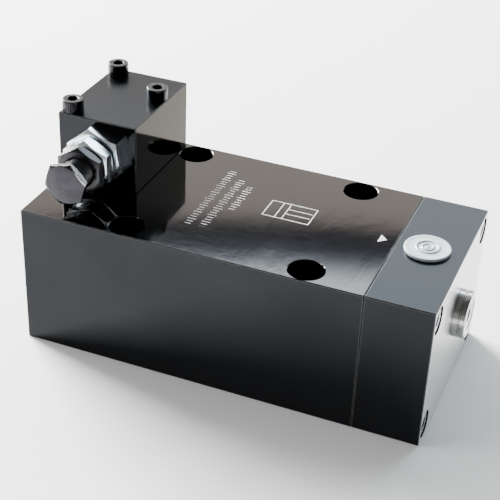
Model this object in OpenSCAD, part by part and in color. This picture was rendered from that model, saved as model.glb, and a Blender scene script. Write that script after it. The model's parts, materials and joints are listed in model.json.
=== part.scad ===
// Hydraulic pressure booster block with a bolted-on sequence valve.
// Millimetres, +Z up, +X along the piston axis towards the end cap, +Y towards the back.
// Origin: centre of the four mounting holes, on the underside of the body.

/* [Body] */
// Length of the body along X, without the end cap
body_l = 140; // [136:1:160]
// Width of the body and the cap along Y
body_w = 80; // [80:1:90]
// Height of the body and the cap
body_h = 60; // [60:1:70]
// Chamfer on every outer edge of the three blocks
edge_break = 0.4; // [0.2:0.1:1]

/* [End cap] */
// Length of the end cap along X
cap_l = 26.5; // [26.5:0.5:32]
// Distance of the cap screws from the side faces
cap_screw_side = 6; // [6:0.5:8]
// Distance of the cap screws from the top and the underside
cap_screw_edge = 6.4; // [6.4:0.2:8]

/* [Mounting holes] */
// Spacing of the mounting holes along X
mount_dx = 73; // [70:1:76]
// Spacing of the mounting holes along Y
mount_dy = 65; // [62:1:65]
// Distance from the left end of the body to the first pair of holes
mount_from_left = 42.5; // [40:0.5:45]
// Through hole for an M8 screw
mount_d = 9; // [8.4:0.1:9]
// Counterbore for the M8 screw's head
mount_head_d = 14; // [13.5:0.5:14]
// Depth of the counterbore
mount_head_h = 9; // [8.5:0.5:12]

/* [Booster piston] */
// Low-pressure bore in the body
lp_d = 38; // [36:1:40]
// High-pressure plunger diameter
plunger_d = 18; // [16:1:18]
// Piston stroke
stroke = 36; // [20:1:36]
// Length of the piston head
head_l = 20; // [18:1:20]

/* [Sequence valve] */
// Size of the valve block along X
valve_l = 34; // [33:1:34]
// Size of the valve block along Y
valve_w = 48; // [48:1:50]
// Height of the valve block
valve_h = 29; // [28:0.5:32]
// Gap from the body's left end to the valve block
valve_from_left = 1; // [1:0.5:3]
// Gap from the body's back face to the valve block
valve_from_back = 1.5; // [1:0.5:2]
// Adjusting screw thread, outside diameter
adjust_d = 12; // [12:0.1:12.1]
// Adjusting screw thread pitch
adjust_pitch = 1; // [1:0.25:1.5]

/* [Ports] */
// Core diameter of the G 1/4 port threads
port_core_d = 11.8; // [11.5:0.05:11.9]
// Depth of the port threads
port_depth = 13; // [12:0.5:14]
// Flange of the transit plug in the high-pressure port
transit_flange_d = 18; // [16:0.5:19]
// Collar of the plug in the cap's end face
end_plug_d = 19; // [18:0.5:20]
// How far that collar stands out
end_plug_out = 5; // [4:0.5:6]

/* [Hidden] */
$fn = 96;

eps = 0.01;
fit = 0.03;         // radial gap of a sliding fit
seat_gap = 0.05;    // radial gap around a screw in its tapped hole

// Block faces
left_x = -(mount_from_left + mount_dx / 2);
face_x = left_x + body_l;
end_x = face_x + cap_l;
front_y = -body_w / 2;
back_y = body_w / 2;

// Booster bore
axis_z = body_h / 2;
lp_r = lp_d / 2;
plunger_r = plunger_d / 2;
lp_end_x = left_x + 24;
nose_r = 12;
head_x = lp_end_x + 5.5;
plunger_x = head_x + head_l;
sleeve_x = plunger_x + stroke + 1.5;
plunger_end_x = face_x - stroke;
relief_l = 3;
ram_pocket = 2;
head_clear = 0.1;
plunger_clear = 0.04;

// Check valve in the end cap
check_y = 1.5;
check_z = 35;
check_r = 5;
seat_x = end_x - 20;
seat_l = 3;
seat_hole_r = 2.5;
ball_r = 3.5;
ball_x = seat_x + seat_l + sqrt(pow(ball_r, 2) - pow(seat_hole_r, 2)) + 0.02;
plug_thread_x = end_x - 9.5;
plug_pocket_x = end_x - 5.5;
feed_x = seat_x - 1.2;
outlet_port_x = end_x - 14.3;

// Drillings
p_y = 22;
port_z = 14;
t_y = -16;
t_z = 11.5;
drill_r = 2.5;
cross_r = 1.8;
closing_r = 3;
closing_h = 4.5;

// Cap screws (M6) and valve block screws (M5)
cap_screw_y = body_w / 2 - cap_screw_side;
cap_screw_z = [cap_screw_edge, body_h - cap_screw_edge];
cap_head_h = 6;
cap_sink = 6.5;
cap_tap_l = 14;
block_head_h = 5;
block_tap_l = 9;

// Valve block and its cartridge, which lies along Y
valve_x = left_x + valve_from_left;
valve_y = back_y - valve_from_back - valve_w;
valve_top = body_h + valve_h;
cart_x = valve_x + valve_l / 2 + 1;
cart_z = body_h + valve_h / 2;
block_screws = [[4.4, 4.4], [4.4, 43.5], [valve_l - 4.4, 28.8]];
drain_y = valve_y + 14.5;
outlet_y = valve_y + 31;
inlet_y = valve_y + 41.5;
adjust_r = adjust_d / 2;

// Stations along the cartridge, measured back from the valve block's front face
hex_l = 5.5;
washer_l = 1.2;
lock_l = 5.6;
lock_gap = 1.2;
stop_l = 4;
shank_l = 8.3;
adjust_head_l = 2.6;
screw_inner = 5.5;     // inner end of the adjusting screw
plate_l = 2.5;
guide_step = 23.5;     // step between the spring chamber and the poppet's bore
seat_at = 35.5;        // poppet seat
cart_end = 38.8;
cavity_end = 44;

// ---------- helpers ----------

// Turned shape about the X axis from [radius, x] points
module turned_x(points) {
  rotate([0, 90, 0]) rotate_extrude() polygon(points);
}

// Turned shape about the valve's axis from [radius, depth] points
module turned_valve(points) {
  translate([cart_x, valve_y, cart_z]) rotate([-90, 0, 0]) rotate_extrude() polygon(points);
}

module rod_x(r, x1, x2, y, z) {
  translate([x1, y, z]) rotate([0, 90, 0]) cylinder(r = r, h = x2 - x1);
}

module rod_y(r, x, y1, y2, z) {
  translate([x, y1, z]) rotate([-90, 0, 0]) cylinder(r = r, h = y2 - y1);
}

module rod_z(r, x, y, z1, z2) {
  translate([x, y, z1]) cylinder(r = r, h = z2 - z1);
}

// Round drilling from one point to another
module drilling(from, to, r) {
  way = to - from;
  len = norm(way);
  translate(from) rotate([0, acos(way[2] / len), atan2(way[1], way[0])]) cylinder(r = r, h = len);
}

// Rectangle with chamfered corners
module chamfered_rect(a, b, c) {
  polygon([[c, 0], [a - c, 0], [a, c], [a, b - c], [a - c, b], [c, b], [0, b - c], [0, c]]);
}

// Block with a chamfer on all twelve edges, one corner at the origin
module chamfered_block(size, c) {
  intersection() {
    linear_extrude(height = size[2]) chamfered_rect(size[0], size[1], c);
    translate([0, size[1], 0]) rotate([90, 0, 0])
      linear_extrude(height = size[1]) chamfered_rect(size[0], size[2], c);
    rotate([90, 0, 90]) linear_extrude(height = size[0]) chamfered_rect(size[1], size[2], c);
  }
}

// Ring with a round section about +Z
module o_ring(ring_r, cord_r) {
  rotate_extrude() translate([ring_r, 0]) circle(r = cord_r, $fn = 32);
}

// Cap screw along +Z: head from 0 up, shank below, hex socket in the head
module socket_screw(head_r, head_h, shank_r, shank_l, socket_af, socket_h) {
  edge = 0.1 * head_r;
  difference() {
    rotate_extrude() polygon([
      [0, -shank_l], [shank_r - edge, -shank_l], [shank_r, -shank_l + edge], [shank_r, 0],
      [head_r, 0], [head_r, head_h - edge], [head_r - edge, head_h], [0, head_h]
    ]);
    translate([0, 0, head_h - socket_h])
      cylinder(r = socket_af / sqrt(3), h = socket_h + eps, $fn = 6);
  }
}

// Hexagon about the valve's axis from depth a to depth b, its corners chamfered as flagged
module valve_hex(af, a, b, turn, front = true, back = true) {
  corner_r = af / sqrt(3);
  flat_r = af / 2 * 0.97;
  outer_r = corner_r + 0.3;
  drop = (outer_r - flat_r) * 0.55;
  intersection() {
    translate([cart_x, valve_y + a, cart_z]) rotate([-90, 0, 0]) rotate([0, 0, -turn])
      cylinder(r = corner_r, h = b - a, $fn = 6);
    turned_valve([
      [0, a], [front ? flat_r : outer_r, a], [outer_r, a + (front ? drop : 0)],
      [outer_r, b - (back ? drop : 0)], [back ? flat_r : outer_r, b], [0, b]
    ]);
  }
}

// Section of a helical wire by a plane square to the helix's axis
function coil_section(ring_r, wire_r, pitch) = [
  for (t = [0 : 22.5 : 337.5])
    let (r = ring_r + wire_r * cos(t), a = 360 * wire_r / pitch * sin(t)) [r * cos(a), r * sin(a)]
];

// Helical spring with ground ends, from 0 up +Z
module coil_spring(ring_r, wire_r, length, turns) {
  linear_extrude(height = length, twist = -360 * turns, slices = 16 * turns, segments = 8)
    polygon(coil_section(ring_r, wire_r, length / turns));
}

// ---------- body and cap ----------

module cap_screw_places() {
  for (side = [-1, 1], z = cap_screw_z) translate([0, side * cap_screw_y, z]) children();
}

module mounting_holes() {
  rim = 0.3;
  head_r = mount_head_d / 2;
  for (sx = [-1, 1], sy = [-1, 1]) translate([sx * mount_dx / 2, sy * mount_dy / 2, 0]) {
    translate([0, 0, -eps]) cylinder(d = mount_d, h = body_h);
    translate([0, 0, body_h - mount_head_h]) cylinder(r = head_r, h = mount_head_h + eps);
    translate([0, 0, body_h - rim]) cylinder(r1 = head_r, r2 = head_r + rim + eps, h = rim + eps);
  }
}

// Threaded port in the left end, with a spot face for its seal
module left_port(y) {
  core_r = port_core_d / 2;
  rod_x(core_r, left_x - eps, left_x + port_depth, y, port_z);
  rod_x(10, left_x - eps, left_x + 0.5, y, port_z);
  translate([left_x + 0.5 - eps, y, port_z]) rotate([0, 90, 0])
    cylinder(r1 = core_r + 1, r2 = core_r, h = 1);
}

module main_body() {
  drain_x = sleeve_x + 0.5;
  color([0.16, 0.17, 0.19]) difference() {
    translate([left_x, front_y, 0]) chamfered_block([body_l, body_w, body_h], edge_break);
    rod_x(lp_r, lp_end_x, face_x + eps, 0, axis_z);
    mounting_holes();
    cap_screw_places() rod_x(3 + seat_gap, face_x - cap_tap_l - 1, face_x + eps, 0, 0);
    left_port(p_y);
    left_port(t_y);
    // supply: along the body to the cap, and up to the valve
    rod_x(drill_r, left_x + port_depth - eps, face_x + eps, p_y, port_z);
    drilling([cart_x, inlet_y, body_h + eps], [cart_x, p_y, port_z], drill_r);
    // return: from behind the piston, and down from the valve
    rod_x(drill_r, left_x + port_depth - eps, drain_x, t_y, t_z);
    rod_z(2, drain_x, t_y, 0, 22);
    rod_z(closing_r, drain_x, t_y, -eps, closing_h + 0.5);
    drilling([cart_x, drain_y, body_h + eps], [left_x + 12, t_y + 1, port_z + 2], 2);
    // valve outlet to the low-pressure chamber
    drilling([cart_x, outlet_y, body_h + eps], [lp_end_x + 2.5, 8, axis_z + 16], drill_r);
    for (p = block_screws)
      rod_z(2.5 + seat_gap, valve_x + p[0], valve_y + p[1], body_h - block_tap_l, body_h + eps);
  }
}

module end_cap() {
  core_r = port_core_d / 2;
  color([0.2, 0.21, 0.22]) difference() {
    translate([face_x, front_y, 0]) chamfered_block([cap_l, body_w, body_h], edge_break);
    cap_screw_places() {
      rod_x(3.3, face_x - eps, end_x, 0, 0);
      rod_x(5.5, end_x - cap_sink, end_x + eps, 0, 0);
    }
    // pocket at the end of the plunger, and its seal
    rod_x(plunger_r, face_x - eps, face_x + ram_pocket, 0, axis_z);
    translate([0, 0, axis_z]) turned_x([
      [10.8, face_x - eps], [13.8, face_x - eps], [13.8, face_x + 1.9], [10.8, face_x + 1.9]
    ]);
    // supply passage to the check valve
    rod_x(drill_r, face_x - eps, feed_x + 1, p_y, port_z);
    translate([0, p_y, port_z]) turned_x([
      [2.8, face_x - eps], [4.6, face_x - eps], [4.6, face_x + 1.5], [2.8, face_x + 1.5]
    ]);
    rod_z(cross_r, feed_x, p_y, 0, check_z + 1);
    rod_y(cross_r, feed_x, check_y, back_y, check_z);
    rod_z(closing_r, feed_x, p_y, -eps, closing_h + 0.5);
    rod_y(closing_r, feed_x, back_y - closing_h - 0.5, back_y + eps, check_z);
    rod_x(2.6, seat_x - 2.4, seat_x + eps, check_y, check_z);
    // check valve chamber and the plug's thread
    rod_x(check_r, seat_x, end_x, check_y, check_z);
    rod_x(core_r, plug_thread_x - 0.5, end_x + eps, check_y, check_z);
    drilling([face_x + 1.5, -6, axis_z - 6], [outlet_port_x + 0.8, check_y - 3, check_z - 4], 1.75);
    // high-pressure port
    rod_z(core_r, outlet_port_x, 0, body_h - port_depth, body_h + eps);
    translate([outlet_port_x, 0, body_h - 0.8])
      cylinder(r1 = core_r, r2 = core_r + 0.8 + eps, h = 0.8 + eps);
    rod_z(drill_r, outlet_port_x, 0, check_z + 1, body_h - port_depth + eps);
  }
}

module cap_screws() {
  head_x = end_x - cap_sink + eps;
  color([0.55, 0.56, 0.58]) cap_screw_places() translate([head_x, 0, 0]) rotate([0, 90, 0])
    socket_screw(5, cap_head_h, 3, cap_l - cap_sink + cap_tap_l, 5, 3);
}

module drilling_plugs() {
  r = closing_r - fit;
  color([0.6, 0.6, 0.6]) {
    rod_z(r, sleeve_x + 0.5, t_y, 0.3, closing_h);
    rod_z(r, feed_x, p_y, 0.3, closing_h);
    rod_y(r, feed_x, back_y - closing_h, back_y - 0.3, check_z);
  }
}

// ---------- booster ----------

module plunger_sleeve() {
  outer_r = lp_r - 0.05;
  end = face_x - 0.02;
  color([0.62, 0.63, 0.65]) translate([0, 0, axis_z]) turned_x([
    [plunger_r, sleeve_x], [outer_r - 3.5, sleeve_x], [outer_r - 3.5, sleeve_x + relief_l],
    [outer_r, sleeve_x + relief_l], [outer_r, sleeve_x + 16],
    [outer_r - 2.4, sleeve_x + 16], [outer_r - 2.4, sleeve_x + 19.4], [outer_r, sleeve_x + 19.4],
    [outer_r, end - 0.5], [outer_r - 0.5, end], [plunger_r, end],
    [plunger_r, sleeve_x + 13], [plunger_r + 4, sleeve_x + 13], [plunger_r + 4, sleeve_x + 8],
    [plunger_r, sleeve_x + 8], [plunger_r, sleeve_x + 6], [plunger_r + 1.5, sleeve_x + 6],
    [plunger_r + 1.5, sleeve_x + 2], [plunger_r, sleeve_x + 2]
  ]);
}

module sleeve_oring() {
  cord_r = 1.18;
  color([0.05, 0.05, 0.05]) translate([sleeve_x + 17.7, 0, axis_z]) rotate([0, 90, 0])
    o_ring(lp_r - 0.02 - cord_r, cord_r);
}

module plunger_seal() {
  inner_r = plunger_r + fit;
  a = sleeve_x + 8.1;
  b = sleeve_x + 12.9;
  color([0.75, 0.7, 0.55]) translate([0, 0, axis_z]) turned_x([
    [inner_r, a], [plunger_r + 3.95, a], [plunger_r + 3.95, b], [plunger_r + 2.8, b], [plunger_r + 2.2, a + 2],
    [plunger_r + 1.6, a + 2], [plunger_r + 1, b], [inner_r, b]
  ]);
}

module plunger_guide() {
  color([0.55, 0.4, 0.25]) translate([0, 0, axis_z]) turned_x([
    [plunger_r + 0.02, sleeve_x + 2.1], [plunger_r + 1.45, sleeve_x + 2.1],
    [plunger_r + 1.45, sleeve_x + 5.9], [plunger_r + 0.02, sleeve_x + 5.9]
  ]);
}

module cap_face_oring() {
  color([0.05, 0.05, 0.05]) translate([face_x + 0.95, 0, axis_z]) rotate([0, 90, 0]) o_ring(12.3, 0.93);
}

module crossing_oring() {
  color([0.05, 0.05, 0.05]) translate([face_x + 0.76, p_y, port_z]) rotate([0, 90, 0]) o_ring(3.7, 0.73);
}

// Grooves in the piston head: [start, width, depth]
head_grooves = [[1.5, 4, 2], [7.5, 5, 3], [14.5, 4, 2]];

module booster_piston() {
  outer_r = lp_r - head_clear;
  color([0.7, 0.71, 0.73]) translate([0, 0, axis_z]) turned_x(concat(
    [[0, lp_end_x + 0.4], [nose_r - 0.6, lp_end_x + 0.4], [nose_r, lp_end_x + 1], [nose_r, head_x],
     [outer_r - 0.5, head_x], [outer_r, head_x + 0.5]],
    [for (g = head_grooves, i = [0 : 3])
      [outer_r - (i == 1 || i == 2 ? g[2] : 0), head_x + g[0] + (i < 2 ? 0 : g[1])]],
    [[outer_r, plunger_x - 0.5], [outer_r - 0.5, plunger_x],
     [plunger_r - plunger_clear, plunger_x], [plunger_r - plunger_clear, plunger_end_x - 1],
     [plunger_r - 1, plunger_end_x], [0, plunger_end_x]]
  ));
}

// Ring in one of the head's grooves
module head_ring(g, outer_gap) {
  translate([0, 0, axis_z]) turned_x([
    [lp_r - head_clear - g[2] + fit, head_x + g[0] + 0.05],
    [lp_r - outer_gap, head_x + g[0] + 0.05],
    [lp_r - outer_gap, head_x + g[0] + g[1] - 0.05],
    [lp_r - head_clear - g[2] + fit, head_x + g[0] + g[1] - 0.05]
  ]);
}

module piston_seal() {
  color([0.2, 0.35, 0.3]) head_ring(head_grooves[1], 0.03);
}

module piston_guide_rings() {
  color([0.55, 0.4, 0.25]) for (i = [0, 2]) head_ring(head_grooves[i], 0.05);
}

// ---------- check valve and plugs in the cap ----------

module check_seat() {
  outer_r = check_r - 0.02;
  color([0.72, 0.6, 0.35]) translate([0, check_y, check_z]) turned_x([
    [seat_hole_r, seat_x + 0.01], [outer_r, seat_x + 0.01],
    [outer_r, seat_x + seat_l], [seat_hole_r, seat_x + seat_l]
  ]);
}

module check_ball() {
  color([0.8, 0.8, 0.82]) translate([ball_x, check_y, check_z]) sphere(r = ball_r);
}

module check_spring() {
  start = ball_x + sqrt(pow(ball_r, 2) - pow(seat_hole_r, 2)) + 0.45;
  color([0.7, 0.7, 0.72]) translate([start, check_y, check_z]) rotate([0, 90, 0])
    coil_spring(2.5, 0.3, plug_pocket_x - start - 0.02, 6);
}

module end_plug() {
  thread_r = port_core_d / 2 - seat_gap;
  collar_r = end_plug_d / 2;
  groove = 0.35;
  out_x = end_x + end_plug_out;
  color([0.78, 0.78, 0.76]) translate([0, check_y, check_z]) difference() {
    turned_x([
      [0, plug_thread_x], [thread_r - 0.8, plug_thread_x], [thread_r, plug_thread_x + 0.8],
      [thread_r, end_x + 0.02], [7.2, end_x + 0.02], [7.2, end_x + 1.1], [8.6, end_x + 1.1],
      [8.6, end_x + 0.02], [collar_r - 0.2, end_x + 0.02], [collar_r, end_x + 0.2],
      [collar_r, end_x + 2.3], [collar_r - groove, end_x + 2.3 + groove],
      [collar_r, end_x + 2.3 + 2 * groove], [collar_r, out_x - 0.6], [collar_r - 0.6, out_x], [0, out_x]
    ]);
    rod_x(3.2, plug_thread_x - eps, plug_pocket_x, 0, 0);
    translate([out_x - 4.5, 0, 0]) rotate([0, 90, 0])
      cylinder(r = 6 / sqrt(3), h = 5, $fn = 6);
    translate([out_x - 0.7, 0, 0]) rotate([0, 90, 0]) cylinder(r1 = 3.2, r2 = 4, h = 0.8);
  }
}

module end_plug_seal() {
  color([0.08, 0.08, 0.08]) translate([0, check_y, check_z]) turned_x([
    [7.25, end_x + 0.05], [8.55, end_x + 0.05], [8.55, end_x + 1.05], [7.25, end_x + 1.05]
  ]);
}

module transit_plug() {
  stem_r = port_core_d / 2 - 0.06;
  flange_r = transit_flange_d / 2;
  color([0.93, 0.93, 0.9]) translate([outlet_port_x, 0, body_h]) rotate_extrude() polygon([
    [0, -1.5], [2.6, -1.5], [2.6, 1.5], [3.4, 1.5], [3.4, -8.5], [stem_r - 1.4, -8.5],
    [stem_r - 1.4, 1.2], [flange_r - 1.6, 1.2], [flange_r - 1.2, 1.7], [flange_r - 0.4, 1.7],
    [flange_r, 1.3], [flange_r, 0.3], [flange_r - 0.3, 0.05], [stem_r + 0.9, 0.05], [stem_r, -0.85],
    [stem_r, -8], [stem_r - 1, -10.5], [0, -10.5]
  ]);
}

// ---------- sequence valve ----------

module valve_block() {
  color([0.25, 0.26, 0.27]) difference() {
    translate([valve_x, valve_y, body_h + 0.02])
      chamfered_block([valve_l, valve_w, valve_h - 0.02], edge_break);
    turned_valve([
      [0, -eps], [10, -eps], [9, 1], [9, 10.5], [7, 11.5], [7, cart_end + 0.2],
      [5, cart_end + 1], [5, cavity_end], [0, cavity_end]
    ]);
    for (y = [outlet_y, inlet_y]) rod_z(drill_r, cart_x, y, body_h, cart_z - 4);
    rod_z(2, cart_x, drain_y, body_h, cart_z - 4);
    for (y = [drain_y, outlet_y, inlet_y]) rod_z(4.9, cart_x, y, body_h, body_h + 1.45);
    for (p = block_screws) rod_z(2.75, valve_x + p[0], valve_y + p[1], body_h, valve_top + eps);
  }
}

module valve_block_screws() {
  color([0.07, 0.07, 0.08]) for (p = block_screws)
    translate([valve_x + p[0], valve_y + p[1], valve_top + 0.01])
      rotate([0, 0, 20]) socket_screw(4.25, block_head_h, 2.5, valve_h + block_tap_l - 1, 4, 2.8);
}

module valve_block_orings() {
  cord_r = 0.7;
  color([0.05, 0.05, 0.05]) for (y = [drain_y, outlet_y, inlet_y])
    translate([cart_x, y, body_h + 0.73]) o_ring(4.15, cord_r);
}

// Grooves of the cartridge's two O-rings: depth of the groove's front wall
oring_grooves = [25, 34.4];
oring_groove_l = 2.4;

module valve_cartridge() {
  thread_r = 8.95;
  nose_r = 6.95;
  spring_r = 5.2;
  color([0.72, 0.76, 0.8]) difference() {
    union() {
      valve_hex(22, -hex_l, 0, 40.6, front = true, back = false);
      turned_valve(concat(
        [[0, -0.5], [thread_r, -0.5], [thread_r, 10.3], [nose_r, 11.3], [nose_r, 12.2],
         [6.3, 12.2], [6.3, 16.8], [nose_r, 16.8]],
        [for (i = [0 : 3])
          [nose_r - (i == 1 || i == 2 ? 1.75 : 0), oring_grooves[0] + (i < 2 ? 0 : oring_groove_l)]],
        [[nose_r, 28.6], [6.1, 28.6], [6.1, 33.4], [nose_r, 33.4]],
        [for (i = [0 : 3])
          [nose_r - (i == 1 || i == 2 ? 1.75 : 0), oring_grooves[1] + (i < 2 ? 0 : oring_groove_l)]],
        [[nose_r, cart_end - 0.6], [nose_r - 0.6, cart_end], [0, cart_end]]
      ));
    }
    turned_valve([
      [0, -hex_l - eps], [adjust_r + 0.84, -hex_l - eps], [adjust_r + 0.04, -hex_l + 0.8],
      [adjust_r + 0.04, 6.5], [spring_r, 7.3], [spring_r, guide_step], [4, guide_step],
      [4, seat_at], [2.5, seat_at], [2.5, cart_end + eps], [0, cart_end + eps]
    ]);
    for (a = [45 : 90 : 315], hole = [[drain_y, 1.2], [outlet_y, 1.4]])
      translate([cart_x, hole[0], cart_z]) rotate([0, a, 0]) translate([0, 0, 3.5])
        cylinder(r = hole[1], h = 7);
  }
}

module cartridge_orings() {
  cord_r = 0.86;
  color([0.05, 0.05, 0.05]) for (g = oring_grooves)
    translate([cart_x, valve_y + g + oring_groove_l / 2, cart_z]) rotate([-90, 0, 0])
      o_ring(7 - 0.02 - cord_r, cord_r);
}

module sequence_poppet() {
  collar = guide_step - 1.9;
  cone_r = 3.48;
  color([0.7, 0.71, 0.74]) turned_valve([
    [0, collar - 4], [1.8, collar - 4], [2.2, collar - 3.6], [2.2, collar], [4.9, collar],
    [4.9, guide_step - 0.1], [3.96, guide_step - 0.1], [3.96, seat_at - 5.4], [2.4, seat_at - 5.4],
    [2.4, seat_at - 2], [cone_r, seat_at - 2], [cone_r, seat_at - 1.2], [1.4, seat_at + 1.3],
    [0, seat_at + 1.3]
  ]);
}

module sequence_spring() {
  start = screw_inner + plate_l + 0.05;
  color([0.6, 0.6, 0.62]) translate([cart_x, valve_y + start, cart_z]) rotate([-90, 0, 0])
    coil_spring(4.05, 0.75, guide_step - 1.95 - start, 6);
}

module spring_plate() {
  a = screw_inner + 0.02;
  color([0.68, 0.68, 0.7]) turned_valve([
    [0, a], [4.4, a], [4.9, a + 0.5], [4.9, screw_inner + plate_l], [2.6, screw_inner + plate_l],
    [2.6, screw_inner + plate_l + 2.6], [2.2, screw_inner + plate_l + 3], [0, screw_inner + plate_l + 3]
  ]);
}

// Stations of the nuts, counted forwards from the hexagon of the cartridge
washer_at = -hex_l - washer_l;
lock_at = washer_at - lock_l;
stop_at = lock_at - lock_gap - stop_l;
head_at = stop_at - shank_l - adjust_head_l;

module adjusting_screw() {
  head_back = head_at + adjust_head_l;
  thread_depth = 0.5 * adjust_pitch;
  turns = floor((screw_inner - head_back - 2) / adjust_pitch);
  first = head_back + 0.8;
  color([0.1, 0.1, 0.11]) union() {
    valve_hex(16, head_at, head_back, 13.7, front = true, back = true);
    turned_valve(concat(
      [[0, head_at + 1], [adjust_r - thread_depth, head_at + 1]],
      [for (i = [0 : turns - 1], k = [0 : 3])
        [adjust_r - (k == 0 || k == 3 ? thread_depth : 0),
         first + adjust_pitch * (i + [0.02, 0.44, 0.56, 0.98][k])]],
      [[adjust_r - thread_depth, screw_inner - 0.4], [adjust_r - thread_depth - 0.4, screw_inner],
       [0, screw_inner]]
    ));
  }
}

// Nut on the adjusting screw
module valve_nut(af, front, back, turn) {
  difference() {
    valve_hex(af, front, back, turn);
    turned_valve([
      [0, front - eps], [adjust_r + 0.6, front - eps], [adjust_r + 0.04, front + 0.56],
      [adjust_r + 0.04, back - 0.56], [adjust_r + 0.6, back + eps], [0, back + eps]
    ]);
  }
}

module stop_nut() {
  color([0.09, 0.09, 0.1]) valve_nut(18, stop_at, stop_at + stop_l, 32.8);
}

module lock_nut() {
  color([0.82, 0.87, 0.9]) valve_nut(19, lock_at, lock_at + lock_l, 32.9);
}

module seal_washer() {
  color([0.12, 0.12, 0.13]) turned_valve([
    [adjust_r + 0.3, washer_at + 0.02], [8.5, washer_at + 0.02], [8.5, -hex_l - 0.02],
    [adjust_r + 0.3, -hex_l - 0.02]
  ]);
}

main_body();
end_cap();
cap_screws();
drilling_plugs();
plunger_sleeve();
sleeve_oring();
plunger_seal();
plunger_guide();
cap_face_oring();
crossing_oring();
booster_piston();
piston_seal();
piston_guide_rings();
check_seat();
check_ball();
check_spring();
end_plug();
end_plug_seal();
transit_plug();
valve_block();
valve_block_screws();
valve_block_orings();
valve_cartridge();
cartridge_orings();
sequence_poppet();
sequence_spring();
spring_plate();
adjusting_screw();
stop_nut();
seal_washer();
lock_nut();
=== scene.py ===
# %% [markdown]
# # A hydraulic pressure intensifier, finished for the eye
# The machine is a blackened steel block with a bolted end cap and a small sequence valve on top.
# Its CAD nodes already have exact shapes, so most of them stay and only get a finish here.
# A few pieces gain from detail that the CAD leaves out: the helical thread of the adjusting
# screw, screw heads with rounded and knurled edges, moulded plastic and wound springs.

# %% Load the frame
import json
import math

import bmesh
import bpy
from mathutils import Matrix, Vector


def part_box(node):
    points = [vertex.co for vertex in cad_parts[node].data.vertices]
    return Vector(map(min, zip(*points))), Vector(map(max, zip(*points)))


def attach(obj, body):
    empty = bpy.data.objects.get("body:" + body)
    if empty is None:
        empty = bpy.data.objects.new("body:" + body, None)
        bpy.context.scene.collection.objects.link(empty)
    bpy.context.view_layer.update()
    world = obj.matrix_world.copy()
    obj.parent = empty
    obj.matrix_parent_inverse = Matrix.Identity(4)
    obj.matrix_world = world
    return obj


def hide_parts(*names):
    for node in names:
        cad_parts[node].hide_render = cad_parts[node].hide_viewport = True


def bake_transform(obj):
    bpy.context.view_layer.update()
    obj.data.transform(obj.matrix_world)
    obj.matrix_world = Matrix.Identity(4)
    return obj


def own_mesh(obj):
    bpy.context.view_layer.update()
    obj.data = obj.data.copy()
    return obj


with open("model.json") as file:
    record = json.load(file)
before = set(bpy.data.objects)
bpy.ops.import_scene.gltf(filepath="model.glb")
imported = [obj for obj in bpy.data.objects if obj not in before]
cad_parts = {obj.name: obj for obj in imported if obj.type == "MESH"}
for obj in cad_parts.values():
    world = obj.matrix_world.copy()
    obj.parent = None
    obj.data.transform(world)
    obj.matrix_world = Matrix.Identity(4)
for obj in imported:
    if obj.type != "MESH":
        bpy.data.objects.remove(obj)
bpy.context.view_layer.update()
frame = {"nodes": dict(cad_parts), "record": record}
nodes = frame["nodes"]

# %% Sizes that every later cell uses
MM = 0.001
body_low, body_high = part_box("main_body")
cap_low, cap_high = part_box("end_cap")
valve_low, valve_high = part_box("valve_block")
screw_low, screw_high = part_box("adjusting_screw")
BODY_TOP = body_high.z
VALVE_AXIS_X = (screw_low.x + screw_high.x) / 2
VALVE_AXIS_Z = (screw_low.z + screw_high.z) / 2
print("body", [round(v / MM, 2) for v in body_high - body_low], "mm")

# %% [markdown]
# ## The camera
# The camera is a long lens, which keeps the block's edges nearly parallel.
# A camera can be aimed with a constraint, but then its roll is hard to give, so the three
# turns are written out: yaw round the vertical, pitch below the horizon, and a small roll.

# %% Camera
CAMERA_PLACE = Vector((154.75, -402.5, 309.3)) * MM
CAMERA_YAW, CAMERA_PITCH, CAMERA_ROLL = (math.radians(a) for a in (-20.80, -31.94, 2.47))
FOCAL_LENGTH = 91.0
SENSOR = 36.0


def camera_axes(yaw, pitch, roll):
    """Columns of the camera's turn: right, up and backwards."""
    ahead = Vector((
        math.cos(pitch) * math.sin(yaw), math.cos(pitch) * math.cos(yaw), math.sin(pitch)))
    right = ahead.cross(Vector((0, 0, 1))).normalized()
    up = right.cross(ahead)
    tilted_right = right * math.cos(roll) + up * math.sin(roll)
    tilted_up = up * math.cos(roll) - right * math.sin(roll)
    return Matrix((tilted_right, tilted_up, -ahead)).transposed()


lens = bpy.data.cameras.new("studio_lens")
lens.lens = FOCAL_LENGTH
lens.sensor_width = SENSOR
lens.clip_start, lens.clip_end = 0.01, 20
camera = bpy.data.objects.new("studio_camera", lens)
bpy.context.scene.collection.objects.link(camera)
camera.matrix_world = (
    Matrix.Translation(CAMERA_PLACE)
    @ camera_axes(CAMERA_YAW, CAMERA_PITCH, CAMERA_ROLL).to_4x4())
bpy.context.scene.camera = camera
print("camera at", [round(v, 3) for v in CAMERA_PLACE])

# %% [markdown]
# ## Node helpers
# A material is a net of nodes. Writing each node by hand takes many lines, so small helpers
# add a node, do sums, mix colours and remap values. They return sockets, so a formula reads
# from the inside out like ordinary code.

# %% Node helpers
def put(socket, value):
    """Links a socket to an input, or sets the input to a plain value."""
    if isinstance(value, bpy.types.NodeSocket):
        socket.id_data.links.new(value, socket)
    else:
        socket.default_value = value


def add(tree, kind, **settings):
    node = tree.nodes.new(kind)
    for name, value in settings.items():
        setattr(node, name, value)
    return node


def fill(node, **values):
    """Sets or links a node's inputs by name; an underscore stands for a space."""
    for name, value in values.items():
        put(node.inputs[name.replace("_", " ")], value)
    return node


def calc(tree, operation, *values):
    node = add(tree, "ShaderNodeMath", operation=operation)
    for socket, value in zip(node.inputs, values):
        put(socket, value)
    return node.outputs[0]


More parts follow.
